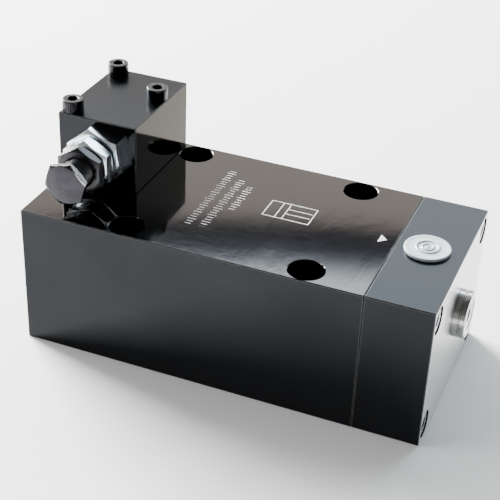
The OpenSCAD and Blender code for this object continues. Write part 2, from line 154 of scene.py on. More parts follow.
def vector_calc(tree, operation, *values):
    node = add(tree, "ShaderNodeVectorMath", operation=operation)
    for socket, value in zip(node.inputs, values):
        put(socket, value)
    return node.outputs["Vector"]


def remap(tree, value, from_low, from_high, to_low, to_high, smooth=False):
    node = add(tree, "ShaderNodeMapRange",
               interpolation_type="SMOOTHSTEP" if smooth else "LINEAR")
    return fill(node, Value=value, From_Min=from_low, From_Max=from_high,
                To_Min=to_low, To_Max=to_high).outputs["Result"]


def mix_colour(tree, share, first, second):
    node = add(tree, "ShaderNodeMix", data_type="RGBA")
    for name, value in (("Factor_Float", share), ("A_Color", first), ("B_Color", second)):
        put(next(s for s in node.inputs if s.identifier == name), value)
    return next(s for s in node.outputs if s.identifier == "Result_Color")


def split(tree, vector):
    return fill(add(tree, "ShaderNodeSeparateXYZ"), Vector=vector).outputs


def join(tree, x, y, z):
    return fill(add(tree, "ShaderNodeCombineXYZ"), X=x, Y=y, Z=z).outputs[0]


def noise(tree, point, **settings):
    node = fill(add(tree, "ShaderNodeTexNoise", noise_dimensions="3D"), Vector=point, **settings)
    return node.outputs["Fac"]


def new_group(name, inputs, outputs):
    """An empty shader group with its named sockets, and its two end nodes."""
    group = bpy.data.node_groups.new(name, "ShaderNodeTree")
    for socket_name, kind, value in inputs:
        socket = group.interface.new_socket(socket_name, in_out="INPUT", socket_type=kind)
        if value is not None:
            socket.default_value = value
    for socket_name, kind in outputs:
        group.interface.new_socket(socket_name, in_out="OUTPUT", socket_type=kind)
    return group, group.nodes.new("NodeGroupInput").outputs, group.nodes.new("NodeGroupOutput")


def place_group(tree, group, **values):
    return fill(add(tree, "ShaderNodeGroup", node_tree=group), **values).outputs


FLOAT, VECTOR = "NodeSocketFloat", "NodeSocketVector"
print("helpers ready")

# %% [markdown]
# ## Effects that several finishes share
# Ground steel has very fine lines in the direction of the wheel. A noise squeezed along one
# axis gives them at any angle, where a wave texture would look too regular.
# Blackening leaves faint clouds, which a soft, large noise gives.
# Edges lose their black first, along the two lines where a chamfer meets its faces. The rim's
# pale colour is partly that worn bare steel and partly a painted highlight, the light a chamfer
# catches. On a box the distance to the nearest edge is the middle one of the three distances to
# its faces. So a thin band at one inset from the edge is the worn and highlighted rim, and it
# needs no extra geometry.

# %% Group: grinding lines
grinding_lines, given, end = new_group(
    "grinding_lines",
    [("Point", VECTOR, None), ("Stretch", VECTOR, (1, 1, 1)), ("Fineness", FLOAT, 900)],
    [("Line", FLOAT), ("Height", FLOAT)])
squeezed = vector_calc(grinding_lines, "MULTIPLY", given["Point"], given["Stretch"])
grain = noise(grinding_lines, squeezed, Scale=given["Fineness"], Detail=3.0, Roughness=0.6)
fill(end, Line=remap(grinding_lines, grain, 0.3, 0.7, 0, 1), Height=grain)
print("group", grinding_lines.name)

# %% Group: oxide clouds
oxide_clouds, given, end = new_group(
    "oxide_clouds",
    [("Point", VECTOR, None), ("Size", FLOAT, 40), ("Low", FLOAT, 0.4), ("High", FLOAT, 0.65)],
    [("Mask", FLOAT)])
cloud = noise(oxide_clouds, given["Point"], Scale=given["Size"], Detail=5.0,
              Roughness=0.55, Distortion=0.4)
fill(end, Mask=remap(oxide_clouds, cloud, given["Low"], given["High"], 0, 1, smooth=True))
print("group", oxide_clouds.name)

# %% Group: worn rim of a box, partly a painted edge highlight
worn_rim, given, end = new_group(
    "worn_rim",
    [("Point", VECTOR, None), ("Low", VECTOR, (0, 0, 0)), ("High", VECTOR, (1, 1, 1)),
     ("Inset", FLOAT, 0.0003), ("Width", FLOAT, 0.0005), ("Ragged", FLOAT, 0.5)],
    [("Mask", FLOAT)])
from_low = vector_calc(worn_rim, "SUBTRACT", given["Point"], given["Low"])
from_high = vector_calc(worn_rim, "SUBTRACT", given["High"], given["Point"])
x, y, z = split(worn_rim, vector_calc(worn_rim, "MINIMUM", from_low, from_high))
middle = calc(worn_rim, "MAXIMUM", calc(worn_rim, "MINIMUM", x, y),
              calc(worn_rim, "MINIMUM", calc(worn_rim, "MAXIMUM", x, y), z))
bite = noise(worn_rim, given["Point"], Scale=350.0, Detail=3.0)
uneven = calc(worn_rim, "MULTIPLY_ADD", bite, given["Ragged"],
              calc(worn_rim, "SUBTRACT", 1.0, given["Ragged"]))
reach = calc(worn_rim, "MULTIPLY", given["Width"], uneven)
off_line = calc(worn_rim, "ABSOLUTE", calc(worn_rim, "SUBTRACT", middle, given["Inset"]))
fill(end, Mask=remap(worn_rim, off_line, 0, reach, 1, 0, smooth=True))
print("group", worn_rim.name)

# %% Group: one engraved stroke, a rectangle on the top face
engraved_bar, given, end = new_group(
    "engraved_bar",
    [("Point", VECTOR, None), ("Centre", VECTOR, (0, 0, 0)), ("Half Size", VECTOR, (1, 1, 1))],
    [("Mask", FLOAT)])
away = vector_calc(engraved_bar, "ABSOLUTE", vector_calc(
    engraved_bar, "SUBTRACT", given["Point"], given["Centre"]))
x, y, z = split(engraved_bar, vector_calc(engraved_bar, "SUBTRACT", given["Half Size"], away))
inside = calc(engraved_bar, "MINIMUM", calc(engraved_bar, "MINIMUM", x, y), z)
fill(end, Mask=remap(engraved_bar, inside, -0.02 * MM, 0.02 * MM, 0, 1))
print("group", engraved_bar.name)

# %% [markdown]
# ## The steels
# All the metal parts share one recipe: a tinted metal whose roughness and colour wander a
# little with the grinding lines and clouds, and a shallow bump from the same lines.
# A metal in Blender reflects its base colour, so a dark base gives the deep mirror of a
# blackened surface without a separate clear coat. A second, very low bump gives the long waves
# of a ground face, which bend reflections. A worn rim is only partly metal, so it scatters
# some light and shows as a thin pale line; that line is partly worn bare steel and partly a
# painted highlight on the edge.

# %% The recipe for a steel
FACE_LINES = {"along_x": (0.06, 1, 1), "along_y": (1, 0.06, 1), "turned": (1, 1, 1)}
RELIEF_DEPTH = 0.02 * MM
# The edge rim's colour is partly worn bare steel, partly a painted highlight.
RIM_WEAR_AND_HIGHLIGHT = {"Inset": 0.36 * MM, "Width": 0.26 * MM, "Ragged": 0.8}
EDGE_WEAR_AND_HIGHLIGHT = (0.075, 0.077, 0.08, 1)
EDGE_WEAR_AND_HIGHLIGHT_METALLIC, EDGE_WEAR_AND_HIGHLIGHT_ROUGHNESS = 0.35, 0.5


def blank_finish(name):
    """A new material, its tree, its shader and the piece's own coordinates."""
    material = bpy.data.materials.new(name)
    material.use_nodes = True
    tree = material.node_tree
    point = add(tree, "ShaderNodeTexCoord").outputs["Object"]
    return material, tree, tree.nodes["Principled BSDF"], point


def relief(tree, height, strength):
    return fill(add(tree, "ShaderNodeBump"), Strength=strength, Distance=RELIEF_DEPTH,
                Height=height)


def steel(name, colour, roughness, spread=0.04, lines="along_x", fineness=900.0,
          tint=0.25, bump=0.06, clouds=40.0, waves=0.0, edge_wear_and_highlight=None):
    """A metal finish. Returns the material, its tree and the sockets that later cells use."""
    material, tree, shader, point = blank_finish(name)
    metal, rim = 1.0, None
    line = place_group(tree, grinding_lines, Point=point, Stretch=FACE_LINES[lines],
                       Fineness=fineness)
    stain = place_group(tree, oxide_clouds, Point=point, Size=clouds)["Mask"]
    lighter = tuple(min(1, c * (1 + 1.2 * tint)) for c in colour) + (1,)
    darker = tuple(c * (1 - 0.6 * tint) for c in colour) + (1,)
    shade = calc(tree, "ADD", calc(tree, "MULTIPLY", stain, 0.7),
                 calc(tree, "MULTIPLY", line["Line"], 0.3))
    base = mix_colour(tree, shade, darker, lighter)
    rough = remap(tree, calc(tree, "MULTIPLY_ADD", line["Line"], 0.6,
                             calc(tree, "MULTIPLY", stain, 0.4)),
                  0, 1, roughness - spread, roughness + spread)
    # Edge rim: partly worn bare steel, partly a painted highlight along the edges.
    if edge_wear_and_highlight:
        rim = place_group(tree, worn_rim, Point=point, **edge_wear_and_highlight)["Mask"]
        base = mix_colour(tree, rim, base, EDGE_WEAR_AND_HIGHLIGHT)
        rough = calc(tree, "MULTIPLY_ADD", rim,
                     calc(tree, "SUBTRACT", EDGE_WEAR_AND_HIGHLIGHT_ROUGHNESS, rough), rough)
        metal = remap(tree, rim, 0, 1, 1.0, EDGE_WEAR_AND_HIGHLIGHT_METALLIC)
    fine = relief(tree, line["Height"], bump)
    if waves:
        swell = place_group(
            tree, oxide_clouds, Point=vector_calc(tree, "MULTIPLY", point, (1.6, 0.7, 1)),
            Size=38.0, Low=0.3, High=0.7)["Mask"]
        put(fine.inputs["Normal"], relief(tree, swell, waves).outputs["Normal"])
    fill(shader, Base_Color=base, Metallic=metal, Roughness=rough,
         Normal=fine.outputs["Normal"])
    return {"material": material, "tree": tree, "shader": shader, "point": point,
            "base": base, "rough": rough, "metal": metal, "rim": rim}


print("steel recipe ready")

# %% [markdown]
# ## Black body with engraved marks
# The body is ground bar, blackened and oiled, so its top is almost a mirror. The maker's laser
# marks are left out. In their place stand plain marks that say nothing: three rows of ticks, a
# generic circuit sign and a small triangle beside the outlet. They could be thin raised strips,
# but a laser only changes the colour, so they are masks made of rectangles, which light the
# colour and dull the gloss. The counterbores' pale rims are ring masks of the same kind: partly
# worn bare steel, partly a painted highlight on their edges.

# %% Body finish
black = steel(
    "blackened_ground_steel", (0.0175, 0.0185, 0.0205), 0.06, spread=0.02, lines="along_x",
    fineness=1400, tint=0.08, bump=0.02, clouds=28, waves=0.5,
    edge_wear_and_highlight={"Low": body_low, "High": body_high, **RIM_WEAR_AND_HIGHLIGHT})
on_body = black["tree"]


def bar(centre_x, centre_y, length_x, length_y):
    """Mask of one engraved rectangle on the body's top; all values in mm."""
    return place_group(
        on_body, engraved_bar, Point=black["point"],
        Centre=(centre_x * MM, centre_y * MM, BODY_TOP),
        Half_Size=(length_x / 2 * MM, length_y / 2 * MM, 0.3 * MM))["Mask"]


def either(masks):
    total = masks[0]
    for mask in masks[1:]:
        total = calc(on_body, "MAXIMUM", total, mask)
    return total


# %% Pale rims of the four counterbores, partly worn and partly a painted highlight
HOLE_X, HOLE_Y, HOLE_R = 36.5, 32.5, 7.0
RING_R, RING_REACH = HOLE_R + 0.12, 0.22
TOP_ONLY = (1, 1, 8)


def worn_and_highlit_hole_rim(centre_x, centre_y):
    """Mask of a thin pale ring round a hole, worn steel and a painted highlight; heights are
    stretched, so the walls stay black.
    """
    across = vector_calc(on_body, "MULTIPLY", vector_calc(
        on_body, "SUBTRACT", black["point"], (centre_x * MM, centre_y * MM, BODY_TOP)), TOP_ONLY)
    length = add(on_body, "ShaderNodeVectorMath", operation="LENGTH")
    put(length.inputs[0], across)
    return remap(on_body, calc(on_body, "ABSOLUTE", calc(
        on_body, "SUBTRACT", length.outputs["Value"], RING_R * MM)), 0, RING_REACH * MM, 1, 0)


worn_and_highlit_hole_rims = either([worn_and_highlit_hole_rim(side_x * HOLE_X, side_y * HOLE_Y)
                    for side_x in (-1, 1) for side_y in (-1, 1)])
# The ring gets the rim colour: partly worn bare steel, partly a painted highlight.
black["base"] = mix_colour(on_body, worn_and_highlit_hole_rims, black["base"], EDGE_WEAR_AND_HIGHLIGHT)
black["metal"] = calc(on_body, "MULTIPLY", black["metal"],
                      remap(on_body, worn_and_highlit_hole_rims, 0, 1, 1.0, EDGE_WEAR_AND_HIGHLIGHT_METALLIC))
print("hole rims: 4")

# %% Rows of ticks
TICK_PITCH, STROKE = 1.9, 0.45
SHORT_TICK, TALL_MORE = 1.25, 0.55
TICK_ROWS = ((-16.4, -21.5, 25.0), (-10.4, -20.5, 20.0), (-5.2, -4.0, 15.5))


def tick_row(centre_x, low_y, high_y):
    """Ticks of two heights across a row; every third one is tall."""
    tree = on_body
    point = split(tree, black["point"])
    step = calc(tree, "DIVIDE", point["Y"], TICK_PITCH * MM)
    stroke = calc(tree, "LESS_THAN", calc(tree, "FRACT", step), STROKE / TICK_PITCH)
    third = calc(tree, "LESS_THAN", calc(tree, "FRACT", calc(
        tree, "DIVIDE", calc(tree, "FLOOR", step), 3.0)), 0.1)
    half_height = calc(tree, "MULTIPLY_ADD", third, TALL_MORE * MM, SHORT_TICK * MM)
    off_centre = calc(tree, "ABSOLUTE", calc(tree, "SUBTRACT", point["X"], centre_x * MM))
    tall_enough = calc(tree, "LESS_THAN", off_centre, half_height)
    row = bar(centre_x, (low_y + high_y) / 2, 4.0, high_y - low_y)
    return calc(tree, "MULTIPLY", row, calc(tree, "MULTIPLY", stroke, tall_enough))


ticks = [tick_row(*row) for row in TICK_ROWS]
print("tick rows:", len(ticks))

# %% A generic circuit sign: a long box, a wide piston and a narrow one
SIGN_X, SIGN_Y = 16.5, 4.0
SIGN_STROKES = (
    (0, -6, 19, 0.4), (0, 6, 19, 0.4), (-9.5, 0, 0.4, 12.4), (9.5, 0, 0.4, 12.4),
    (-4.5, 0, 0.4, 12), (-1.5, 0, 0.4, 12), (3.6, -1.8, 10.2, 0.4), (3.6, 1.8, 10.2, 0.4))
PORT_MARK = tuple((54.4 + 0.42 * k, 0.5, 0.44, 5.2 - 0.8 * k) for k in range(7))
strokes = [bar(SIGN_X + dx, SIGN_Y + dy, length_x, length_y)
           for dx, dy, length_x, length_y in SIGN_STROKES]
strokes += [bar(*mark) for mark in PORT_MARK]
LASER_GREY, LASER_ROUGHNESS, LASER_METALLIC = (0.62, 0.63, 0.63, 1), 0.6, 0.25
engraved = either(ticks + strokes)
fade = place_group(on_body, oxide_clouds, Point=black["point"], Size=900.0,
                   Low=0.2, High=0.5)["Mask"]
engraved = calc(on_body, "MULTIPLY", engraved, remap(on_body, fade, 0, 1, 0.72, 0.95))
fill(black["shader"],
     Base_Color=mix_colour(on_body, engraved, black["base"], LASER_GREY),
     Roughness=remap(on_body, engraved, 0, 1, black["rough"], LASER_ROUGHNESS),
     Metallic=calc(on_body, "MULTIPLY", black["metal"],
                   remap(on_body, engraved, 0, 1, 1.0, LASER_METALLIC)))
print("engraved strokes:", len(strokes))

# %% [markdown]
# ## Satin steel of the cap and the valve block
# The tops of the cap and the valve block were ground more coarsely, so they look grey and
# satin, while their sides are as dark and glossy as the body. The cap's end face is bare.
# One material can hold several of these, because the direction of the face and the place on
# the piece say which applies.

# %% A satin top on dark sides
SKIN_LOW, SKIN_HIGH = 0.12 * MM, 0.04 * MM


def satin_top(name, low, high, top_colour, top_roughness):
    made = steel(
        name, (0.018, 0.019, 0.021), 0.08, spread=0.02, lines="along_y",
        fineness=1400, tint=0.08, bump=0.02, clouds=30,
        edge_wear_and_highlight={"Low": low, "High": high, **RIM_WEAR_AND_HIGHLIGHT})
    tree = made["tree"]
    height = split(tree, made["point"])["Z"]
    on_top = remap(tree, height, high.z - SKIN_LOW, high.z - SKIN_HIGH, 0, 1)
    grit = place_group(tree, grinding_lines, Point=made["point"], Stretch=(1, 0.12, 1),
                       Fineness=2600.0)["Line"]
    satin = mix_colour(tree, grit, tuple(c * 0.94 for c in top_colour) + (1,),
                       tuple(c * 1.06 for c in top_colour) + (1,))
    on_top = calc(tree, "MULTIPLY", on_top, calc(tree, "SUBTRACT", 1.0, made["rim"]))
    made["base"] = mix_colour(tree, on_top, made["base"], satin)
    made["rough"] = calc(tree, "MULTIPLY_ADD", on_top,
                         calc(tree, "SUBTRACT", top_roughness, made["rough"]), made["rough"])
    fill(made["shader"], Base_Color=made["base"], Roughness=made["rough"])
    return made


cap = satin_top("satin_cap_steel", cap_low, cap_high, (0.019, 0.025, 0.031), 0.30)
valve_body = satin_top("satin_valve_steel", valve_low, valve_high, (0.013, 0.019, 0.027), 0.24)
valve_body["shader"].inputs["Specular Tint"].default_value = (0.76, 0.73, 0.69, 1)
print("satin tops:", cap["material"].name, valve_body["material"].name)

# %% The cap's bare end face
on_cap = cap["tree"]
face_place = split(on_cap, cap["point"])["X"]
on_end = remap(on_cap, face_place, cap_high.x - SKIN_LOW, cap_high.x - SKIN_HIGH, 0, 1)
wheel_marks = place_group(on_cap, grinding_lines, Point=cap["point"],
                          Stretch=(1, 1, 0.04), Fineness=1500.0)["Line"]
bare = mix_colour(on_cap, wheel_marks, (0.66, 0.665, 0.66, 1), (0.82, 0.82, 0.81, 1))
bare_rough = remap(on_cap, wheel_marks, 0, 1, 0.27, 0.37)
fill(cap["shader"], Base_Color=mix_colour(on_cap, on_end, cap["base"], bare),
     Roughness=calc(on_cap, "MULTIPLY_ADD", on_end,
                    calc(on_cap, "SUBTRACT", bare_rough, cap["rough"]), cap["rough"]))
print("end face at x =", round(cap_high.x / MM, 2), "mm")

# %% [markdown]
# ## Finishes of the small parts
# Zinc plate is brighter and slightly blue, black oxide is darker than the body and a little
# rough in its corners, and turned stainless shows fine rings. The same recipe gives them all
# with other numbers. One flat of the adjusting screw's head has a painted highlight, a lighter
# speckled colour which a mask picks out by its distance from the screw's axis.

# %% Small metal finishes
finishes = {
    "blackened_steel": black,
    "bright_screw_steel": steel("bright_screw_steel", (0.42, 0.43, 0.44), 0.24, lines="turned",
                                fineness=1800, bump=0.05, clouds=300),
    "ground_steel": steel("ground_steel", (0.52, 0.53, 0.54), 0.2, lines="along_y",
                          fineness=1500, bump=0.05, clouds=90, tint=0.12),
    "stainless_steel": steel("turned_stainless", (0.44, 0.44, 0.425), 0.14, lines="along_y",
                             fineness=1300, bump=0.07, clouds=160, tint=0.15),
    "zinc_plate": steel("bright_zinc_plate", (0.62, 0.67, 0.70), 0.2, lines="turned",
                        fineness=700, bump=0.06, clouds=170, tint=0.22),
    "black_oxide": steel("black_oxide", (0.036, 0.036, 0.039), 0.3, spread=0.08, lines="turned",
                         fineness=900, bump=0.09, clouds=220, tint=0.35),
    "spring_steel": steel("spring_wire", (0.36, 0.37, 0.39), 0.3, lines="turned",
                          fineness=1500, bump=0.05, clouds=250),
    "seat_bronze": steel("seat_bronze", (0.62, 0.40, 0.17), 0.28, lines="turned",
                         fineness=1100, bump=0.06, clouds=200),
}
head_black_with_painted_highlight = steel(
    "ground_hexagon_steel", (0.030, 0.030, 0.034), 0.2, spread=0.04, lines="along_x",
    fineness=1600, bump=0.06, clouds=200, tint=0.2)

# %% One flat of the adjusting screw's head, with a painted highlight
HIGHLIT_FLAT_ANGLE = math.radians(51)
HIGHLIT_FLAT = (math.sin(HIGHLIT_FLAT_ANGLE), 0, math.cos(HIGHLIT_FLAT_ANGLE))
on_head = head_black_with_painted_highlight["tree"]
from_axis = vector_calc(on_head, "SUBTRACT", head_black_with_painted_highlight["point"],
                        (VALVE_AXIS_X, 0, VALVE_AXIS_Z))
x, y, z = split(on_head, vector_calc(on_head, "MULTIPLY", from_axis, HIGHLIT_FLAT))
painted_highlight_on_flat = remap(on_head, calc(on_head, "ADD", x, z), 7.3 * MM, 7.7 * MM, 0, 1)
highlight_speckle = place_group(on_head, oxide_clouds, Point=head_black_with_painted_highlight["point"], Size=1500.0,
                      Low=0.35, High=0.6)["Mask"]
# Painted highlight: a lighter, speckled colour on one flat of the head.
painted_flat_highlight = mix_colour(on_head, highlight_speckle, (0.16, 0.16, 0.17, 1), (0.45, 0.45, 0.46, 1))
put(head_black_with_painted_highlight["shader"].inputs["Base Color"],
    mix_colour(on_head, painted_highlight_on_flat, head_black_with_painted_highlight["base"], painted_flat_highlight))
print("metal finishes:", len(finishes) + 1)

# %% [markdown]
# ## Rubber and plastics
# Seals are soft and dull, so they have no metal share. Fine noise breaks up their surface the
# way a mould does. The transit plug is unpigmented polyethylene: light passes into it and
# scatters, which the Subsurface weight of the Principled shader gives.

# %% The recipe for a moulded part
def moulded(name, colour, roughness, tint=0.2, bump=0.08, clouds=120.0):
    material, tree, shader, point = blank_finish(name)
    texture = place_group(tree, grinding_lines, Point=point, Stretch=(1, 1, 1),
                          Fineness=1500.0)
    stain = place_group(tree, oxide_clouds, Point=point, Size=clouds)["Mask"]
    darker = tuple(c * (1 - tint / 2) for c in colour) + (1,)
    lighter = tuple(min(1, c * (1 + tint / 2)) for c in colour) + (1,)
    fill(shader, Base_Color=mix_colour(tree, stain, darker, lighter),
         Roughness=remap(tree, texture["Line"], 0, 1, roughness - 0.05, roughness + 0.05),
         Normal=relief(tree, texture["Height"], bump).outputs["Normal"])
    return {"material": material, "shader": shader}


finishes["rubber"] = moulded("nitrile_rubber", (0.022, 0.022, 0.023), 0.55)
finishes["seal_plastic"] = moulded("filled_ptfe", (0.10, 0.20, 0.17), 0.45)
finishes["urethane"] = moulded("polyurethane", (0.62, 0.52, 0.32), 0.35)
finishes["guide_composite"] = moulded("bronze_filled_ptfe", (0.34, 0.21, 0.11), 0.42)
finishes["natural_polyethylene"] = moulded(
    "natural_polyethylene", (0.47, 0.545, 0.59), 0.22, tint=0.08, bump=0.1, clouds=90)
milky = finishes["natural_polyethylene"]["shader"].inputs
milky["Subsurface Weight"].default_value = 0.35
milky["Subsurface Radius"].default_value = (1.0, 1.1, 1.2)
milky["Subsurface Scale"].default_value = 0.8 * MM
print("finishes in all:", len(finishes))

# %% Every CAD node gets the finish of its slot
special = {"end_cap": cap, "valve_block": valve_body}
for part in frame["record"]["subparts"]:
    finish = special.get(part["node"]) or finishes[part["material_slot"]]
    for slot in nodes[part["node"]].material_slots:
        slot.material = finish["material"]

# %% [markdown]
# ## Turned pieces, one ring at a time
# Screws, plugs and nuts are turned on a lathe and then get a hexagon, a socket or a knurl.
# They could be cut with booleans, which leave long thin triangles and hard shading. Here each
# piece is a stack of rings with the same number of points. A ring's radius may depend on the
# angle, so a round neck, a hexagon and a knurl all join without a seam.

# %% Radius rules and stacked rings
ROUND = 96


def circle(radius):
    return lambda angle: radius


def hexagon(across_flats):
    """Radius of a hexagon at an angle; a flat faces angle 30 degrees."""
    third = math.pi / 3
    return lambda angle: across_flats / 2 / math.cos((angle % third) - third / 2)


def smaller(first, second):
    return lambda angle: min(first(angle), second(angle))


def knurl(radius, depth, teeth):
    """Rounded teeth round a head."""
    return lambda angle: radius - depth * (0.5 - 0.5 * math.cos(teeth * angle)) ** 2


def stack_rings(name, rings, around=ROUND, tube=False):
    """A closed mesh from (height, radius rule) rings, in mm, along +Z. A tube joins its ends."""
    mesh = bmesh.new()
    loops = []
    for height, radius in rings:
        loop = []
        for k in range(around):
            angle = 2 * math.pi * k / around
            r = radius(angle) * MM
            loop.append(mesh.verts.new((r * math.cos(angle), r * math.sin(angle), height * MM)))
        loops.append(loop)
    pairs = list(zip(loops, loops[1:])) + ([(loops[-1], loops[0])] if tube else [])
    for lower, upper in pairs:
        for k in range(around):
            n = (k + 1) % around
            mesh.faces.new((lower[k], lower[n], upper[n], upper[k]))
    if not tube:
        for loop, height in ((loops[0], rings[0][0]), (loops[-1], rings[-1][0])):
            pole = mesh.verts.new((0, 0, height * MM))
            for k in range(around):
                mesh.faces.new((loop[k], loop[(k + 1) % around], pole))
    bmesh.ops.recalc_face_normals(mesh, faces=mesh.faces)
    data = bpy.data.meshes.new(name)
    mesh.to_mesh(data)
    mesh.free()
    piece = bpy.data.objects.new(name, data)
    bpy.context.scene.collection.objects.link(piece)
    return piece


def turned(profile):
    """Round rings from (height, radius) pairs."""
    return [(height, circle(radius)) for height, radius in profile]


def arc(height, radius, size, start, stop, steps=4):
    """Rings of a rounded corner about (height, radius), angles in degrees from the axis."""
    turns = [math.radians(start + (stop - start) * k / steps) for k in range(steps + 1)]
    return [(height + size * math.cos(t), circle(radius + size * math.sin(t))) for t in turns]


# %% Helpers that finish a piece
def shade(piece, degrees):
    """Smooth shading that keeps edges sharper than the angle."""
    data = piece.data
    data.shade_smooth()
    data.set_sharp_from_angle(angle=math.radians(degrees))
    return piece


def settle(piece, turn):
    """Moves the mesh, not the object, so the object stays at the origin."""
    piece.data.transform(turn)
    piece.data.update()
    return piece


def dress(piece, finish, body, slot, *replaced):
    """Gives a piece its finish and its body, and hides the CAD nodes that it stands for. Its slot
    argument is not used.

    A piece given no body is left unattached."""
    piece.data.materials.clear()
    piece.data.materials.append(finish["material"])
    if body:
        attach(piece, body)
    if replaced:
        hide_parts(*replaced)
    size = [round(v / MM, 1) for v in piece.dimensions]
    print(piece.name, size, "mm,", len(piece.data.polygons), "faces")
    return piece


ALONG_X = Matrix.Rotation(math.radians(90), 4, "Y")
TOWARDS_FRONT = Matrix.Rotation(math.radians(90), 4, "X")
BACKWARDS = TOWARDS_FRONT.inverted()
print("ring helpers ready")

# %% [markdown]
# ## Socket screws placed by Geometry Nodes
# The cap is held by four M6 screws and the valve block by three M5 screws. One screw is made
# as a stack of rings, and a small node tree copies it to every point of a carrier mesh. That
# is the quick way to repeat a piece: to change the screw or a place is one edit. Each copy is
# turned by a fixed seed, because no fitter leaves all sockets in line.

# %% One socket screw
def socket_screw(name, head_r, head_h, socket, socket_depth, shank_r, length, knurl_depth, teeth):
    """Head up +Z from the seat at zero, shank below it; sizes in mm."""
    rim = 0.09 * head_r
    point = 0.25 * shank_r
    body_rings = [(-length, circle(shank_r - point)), (-length + point, circle(shank_r)),
                  (0, circle(shank_r)), (0, circle(head_r - 0.15)),
                  (0.15, knurl(head_r, knurl_depth, teeth)),
                  (head_h * 0.72, knurl(head_r, knurl_depth, teeth)),
                  (head_h * 0.75, circle(head_r))]
    body_rings += arc(head_h - rim, head_r - rim, rim, 90, 0, 5)
    mouth = socket / math.sqrt(3)
    body_rings += [(head_h, circle(mouth + 0.12)), (head_h - 0.12, hexagon(socket)),
                   (head_h - socket_depth, hexagon(socket)),
                   (head_h - socket_depth - 0.25 * socket, circle(0.08 * socket))]
    return shade(stack_rings(name, body_rings), 30)


# %% How every tree starts and ends
def start_tree(name, result, **inputs):
    """An empty tree with the kinds of its inputs by name, a finish and one result."""
    tree = bpy.data.node_groups.new(name, "GeometryNodeTree")
    for label, kind in {**inputs, "Finish": "Material"}.items():
        tree.interface.new_socket(label.replace("_", " "), in_out="INPUT",
                                  socket_type="NodeSocket" + kind)
    tree.interface.new_socket(result, in_out="OUTPUT", socket_type="NodeSocketGeometry")
    return tree, tree.nodes.new("NodeGroupInput").outputs


def end_tree(tree, shape, finish):
    """Makes any copies real, paints them and hands them out."""
    real = fill(add(tree, "GeometryNodeRealizeInstances"), Geometry=shape)
    painted = fill(add(tree, "GeometryNodeSetMaterial"), Geometry=real.outputs[0],
                   Material=finish)
    put(tree.nodes.new("NodeGroupOutput").inputs[0], painted.outputs[0])
    return tree


# %% The tree that copies screws
def screw_tree():
    tree, given = start_tree("screws_on_points", "Screws", Places="Geometry",
                             Screw="Object", Heading="Vector", Seed="Int")
    screw = fill(add(tree, "GeometryNodeObjectInfo", transform_space="ORIGINAL"),
                 Object=given["Screw"])
    turn = fill(add(tree, "FunctionNodeRandomValue", data_type="FLOAT"), Seed=given["Seed"])
    turn.inputs[2].default_value, turn.inputs[3].default_value = 0.0, math.pi / 3
    own_turn = add(tree, "FunctionNodeEulerToRotation")
    put(own_turn.inputs[0], join(tree, 0.0, 0.0, turn.outputs[1]))
    heading = add(tree, "FunctionNodeEulerToRotation")
    put(heading.inputs[0], given["Heading"])
    turned = fill(add(tree, "FunctionNodeRotateRotation", rotation_space="LOCAL"),
                  Rotation=heading.outputs[0], Rotate_By=own_turn.outputs[0])
    copies = fill(add(tree, "GeometryNodeInstanceOnPoints"), Points=given["Places"],
                  Instance=screw.outputs["Geometry"], Rotation=turned.outputs[0])
    return end_tree(tree, copies.outputs[0], given["Finish"])


def grow(name, tree, carrier, **values):
    """Runs a node tree on a carrier mesh and returns its result as a plain mesh object."""
    host = bpy.data.objects.new(name + "_carrier", carrier)
    bpy.context.scene.collection.objects.link(host)
    modifier = host.modifiers.new("tree", "NODES")
    modifier.node_group = tree
    for item in tree.interface.items_tree:
        if item.in_out == "INPUT" and item.name.replace(" ", "_") in values:
            modifier[item.identifier] = values[item.name.replace(" ", "_")]
    graph = bpy.context.evaluated_depsgraph_get()
    grown = bpy.data.meshes.new_from_object(host.evaluated_get(graph))
    bpy.data.objects.remove(host)
    grown.name = name
    piece = bpy.data.objects.new(name, grown)
    bpy.context.scene.collection.objects.link(piece)
    return piece


def points_mesh(name, places):
    mesh = bpy.data.meshes.new(name)
    mesh.from_pydata([Vector(p) for p in places], [], [])
    return mesh


screws_on_points = screw_tree()
print("tree", screws_on_points.name)


def fit_screws(name, screw, places, heading, seed, finish, slot, node):
    """Copies a screw to its places; the copies then stand for their CAD node."""
    screws = grow(name, screws_on_points, points_mesh(name + "_places", places),
                  Screw=screw, Heading=heading, Seed=seed, Finish=finish["material"])
    bpy.data.objects.remove(screw)
    dress(screws, finish, "block", slot, node)

# %% Cap screws
M6_HEAD_R, M6_HEAD_H = 4.95, 6.0
HEAD_SEAT_R = 5.0
cap_screw_low, cap_screw_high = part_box("cap_screws")
seat_x = cap_screw_high.x - M6_HEAD_H * MM
reach_y = cap_screw_high.y - HEAD_SEAT_R * MM
low_z, high_z = cap_screw_low.z + HEAD_SEAT_R * MM, cap_screw_high.z - HEAD_SEAT_R * MM
shank_m6 = (seat_x - cap_screw_low.x) / MM
m6 = socket_screw("m6_screw", M6_HEAD_R, M6_HEAD_H, 5.0, 3.2, 2.95, shank_m6, 0.12, 32)
cap_screw_places = [(seat_x, side * reach_y, z) for side in (-1, 1) for z in (low_z, high_z)]
fit_screws("cap_head_screws", m6, cap_screw_places, (0, math.radians(90), 0), 4,
           finishes["bright_screw_steel"], "bright_screw_steel", "cap_screws")

